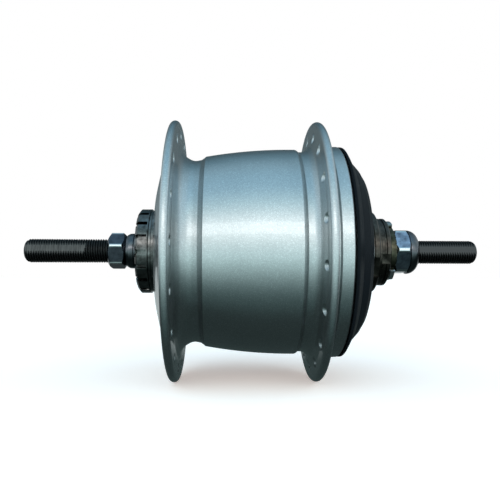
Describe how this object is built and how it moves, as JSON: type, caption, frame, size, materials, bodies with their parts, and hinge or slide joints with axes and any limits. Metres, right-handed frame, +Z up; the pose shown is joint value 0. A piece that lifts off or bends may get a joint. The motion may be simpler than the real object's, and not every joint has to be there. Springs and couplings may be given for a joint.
{
  "type": "bicycle hub gear",
  "caption": "Internally geared rear bicycle hub: flanged metallic shell, planetary gear train on a fixed threaded axle, toothed brake joint, black dust cap, driver and shift ring.",
  "frame": {"origin": "middle of the axle, on its centre line, which is also the middle of the whole part's box", "axes": "+X along the axle towards the drive side, +Z up, -Y the side that faces the viewer"},
  "size_m": [0.184, 0.1042, 0.1042],
  "materials": {
    "shell_paint": "metallic silver paint",
    "axle_black": "black oxide",
    "dark_steel": "dark plated",
    "brake_ring_steel": "dark plated, bright on the tooth faces",
    "cap_plastic": "black semi gloss",
    "driver_steel": "dark hardened steel",
    "zinc_plate": "yellow zinc plate",
    "nut_chrome": "polished",
    "bearing_steel": "ground and polished",
    "gear_steel": "hardened and oiled",
    "carrier_steel": "satin",
    "spring_steel": "bright",
    "cage_plastic": "moulded",
    "seal_rubber": "matt"
  },
  "bodies": {
    "root": {"axle": "axle_black", "left_lock_nut": "dark_steel", "left_spacer": "dark_steel", "left_cone": "bearing_steel", "right_cone": "bearing_steel", "right_lock_nut": "nut_chrome", "right_dome_nut": "dark_steel", "sun_a": "gear_steel", "sun_b3": "gear_steel", "sun_pawl_springs": "spring_steel", "sun_washers": "bearing_steel", "shift_return_spring": "spring_steel"},
    "hub": {"shell": "shell_paint", "left_cup": "bearing_steel", "left_seal": "seal_rubber", "brake_joint_ring": "brake_ring_steel", "right_cup": "bearing_steel", "ratchet_ring": "gear_steel", "ring_gear_b": "gear_steel", "output_pawl_springs": "spring_steel", "ring_circlip": "spring_steel"},
    "drive": {"driver": "driver_steel", "ring_gear_a": "gear_steel", "dust_cap": "cap_plastic", "dust_cap_circlip": "spring_steel", "driver_seal": "seal_rubber"},
    "carrier": {"carrier_left": "carrier_steel", "carrier_middle": "carrier_steel", "carrier_right": "carrier_steel", "planet_pins_a": "bearing_steel", "planet_pins_b": "bearing_steel", "clutch_rollers": "bearing_steel", "clutch_cage": "cage_plastic"},
    "left_bearing": {"left_balls": "bearing_steel", "left_ball_cage": "cage_plastic"},
    "shell_bearing": {"shell_balls": "bearing_steel", "shell_ball_cage": "cage_plastic"},
    "right_bearing": {"right_balls": "bearing_steel", "right_ball_cage": "cage_plastic"},
    "sun_b1_gear": {"sun_b1": "gear_steel"},
    "sun_b2_gear": {"sun_b2": "gear_steel"},
    "shifter": {"shift_ring": "zinc_plate", "shift_sleeve": "zinc_plate"},
    "planet_a1": {"planet_a_1": "gear_steel"},
    "planet_b1": {"planet_b_1": "gear_steel"},
    "planet_a2": {"planet_a_2": "gear_steel"},
    "planet_b2": {"planet_b_2": "gear_steel"},
    "planet_a3": {"planet_a_3": "gear_steel"},
    "planet_b3": {"planet_b_3": "gear_steel"},
    "pawl_a": {"sun_pawl_a": "gear_steel"},
    "pawl_b1": {"sun_pawl_b1": "gear_steel"},
    "pawl_b2": {"sun_pawl_b2": "gear_steel"},
    "pawl_b3": {"sun_pawl_b3": "gear_steel"},
    "catch_1": {"output_pawl_1": "gear_steel"},
    "catch_2": {"output_pawl_2": "gear_steel"},
    "catch_3": {"output_pawl_3": "gear_steel"}
  },
  "joints": [
    {"name": "hub_spin", "type": "hinge", "parent": "root", "child": "hub", "pos_m": [0, 0, 0], "axis": [1, 0, 0], "continuous": true},
    {"name": "driver_spin", "type": "hinge", "parent": "root", "child": "drive", "pos_m": [0, 0, 0], "axis": [1, 0, 0], "continuous": true},
    {"name": "carrier_spin", "type": "hinge", "parent": "root", "child": "carrier", "pos_m": [0, 0, 0], "axis": [1, 0, 0], "continuous": true},
    {"name": "sun_b1_spin", "type": "hinge", "parent": "root", "child": "sun_b1_gear", "pos_m": [0, 0, 0], "axis": [1, 0, 0], "continuous": true},
    {"name": "sun_b2_spin", "type": "hinge", "parent": "root", "child": "sun_b2_gear", "pos_m": [0, 0, 0], "axis": [1, 0, 0], "continuous": true},
    {"name": "left_bearing_spin", "type": "hinge", "parent": "root", "child": "left_bearing", "pos_m": [0, 0, 0], "axis": [1, 0, 0], "continuous": true},
    {"name": "shell_bearing_spin", "type": "hinge", "parent": "root", "child": "shell_bearing", "pos_m": [0, 0, 0], "axis": [1, 0, 0], "continuous": true},
    {"name": "right_bearing_spin", "type": "hinge", "parent": "root", "child": "right_bearing", "pos_m": [0, 0, 0], "axis": [1, 0, 0], "continuous": true},
    {"name": "planet_a1_spin", "type": "hinge", "parent": "carrier", "child": "planet_a1", "pos_m": [0.02, 0.0198, 0], "axis": [1, 0, 0], "continuous": true},
    {"name": "planet_b1_spin", "type": "hinge", "parent": "carrier", "child": "planet_b1", "pos_m": [-0.01, 0.02025, 0], "axis": [1, 0, 0], "continuous": true},
    {"name": "planet_a2_spin", "type": "hinge", "parent": "carrier", "child": "planet_a2", "pos_m": [0.02, -0.0099, 0.01715], "axis": [1, 0, 0], "continuous": true},
    {"name": "planet_b2_spin", "type": "hinge", "parent": "carrier", "child": "planet_b2", "pos_m": [-0.01, -0.01013, 0.01754], "axis": [1, 0, 0], "continuous": true},
    {"name": "planet_a3_spin", "type": "hinge", "parent": "carrier", "child": "planet_a3", "pos_m": [0.02, -0.0099, -0.01715], "axis": [1, 0, 0], "continuous": true},
    {"name": "planet_b3_spin", "type": "hinge", "parent": "carrier", "child": "planet_b3", "pos_m": [-0.01, -0.01013, -0.01754], "axis": [1, 0, 0], "continuous": true},
    {"name": "shift_turn", "type": "hinge", "parent": "root", "child": "shifter", "pos_m": [0.05, 0, 0], "axis": [1, 0, 0], "range_deg": [0, 118], "stiffness_Nm_per_rad": 0.02, "springref_deg": -5.73},
    {"name": "sun_pawl_a_tilt", "type": "hinge", "parent": "root", "child": "pawl_a", "pos_m": [0.018, 0.0049, 0], "axis": [1, 0, 0], "range_deg": [0, 20], "stiffness_Nm_per_rad": 0.0005},
    {"name": "sun_pawl_b1_tilt", "type": "hinge", "parent": "root", "child": "pawl_b1", "pos_m": [-0.024, 0, 0.0049], "axis": [1, 0, 0], "range_deg": [-7, 0], "stiffness_Nm_per_rad": 0.0005},
    {"name": "sun_pawl_b2_tilt", "type": "hinge", "parent": "root", "child": "pawl_b2", "pos_m": [-0.0075, -0.0049, 0], "axis": [1, 0, 0], "range_deg": [-7, 0], "stiffness_Nm_per_rad": 0.0005},
    {"name": "sun_pawl_b3_tilt", "type": "hinge", "parent": "root", "child": "pawl_b3", "pos_m": [-0.01575, 0, -0.0049], "axis": [1, 0, 0], "range_deg": [0, 20], "stiffness_Nm_per_rad": 0.0005},
    {"name": "output_pawl_1_tilt", "type": "hinge", "parent": "hub", "child": "catch_1", "pos_m": [-0.001, 0.0311, 0], "axis": [1, 0, 0], "range_deg": [0, 24], "stiffness_Nm_per_rad": 0.0005},
    {"name": "output_pawl_2_tilt", "type": "hinge", "parent": "hub", "child": "catch_2", "pos_m": [-0.001, -0.01555, 0.02693], "axis": [1, 0, 0], "range_deg": [0, 24], "stiffness_Nm_per_rad": 0.0005},
    {"name": "output_pawl_3_tilt", "type": "hinge", "parent": "hub", "child": "catch_3", "pos_m": [-0.001, -0.01555, -0.02693], "axis": [1, 0, 0], "range_deg": [0, 24], "stiffness_Nm_per_rad": 0.0005}
  ],
  "couplings": [
    {"joint": "driver_spin", "follows": "hub_spin", "ratio": 1.2121},
    {"joint": "carrier_spin", "follows": "hub_spin", "ratio": 0.63636},
    {"joint": "sun_b1_spin", "follows": "hub_spin", "ratio": -0.81818},
    {"joint": "sun_b2_spin", "follows": "hub_spin", "ratio": -0.21212},
    {"joint": "left_bearing_spin", "follows": "hub_spin", "ratio": 0.62579},
    {"joint": "shell_bearing_spin", "follows": "hub_spin", "ratio": 1.095},
    {"joint": "right_bearing_spin", "follows": "hub_spin", "ratio": 0.71795},
    {"joint": "planet_a1_spin", "follows": "hub_spin", "ratio": 1.9091},
    {"joint": "planet_b1_spin", "follows": "hub_spin", "ratio": 1.2727},
    {"joint": "planet_a2_spin", "follows": "hub_spin", "ratio": 1.9091},
    {"joint": "planet_b2_spin", "follows": "hub_spin", "ratio": 1.2727},
    {"joint": "planet_a3_spin", "follows": "hub_spin", "ratio": 1.9091},
    {"joint": "planet_b3_spin", "follows": "hub_spin", "ratio": 1.2727}
  ]
}
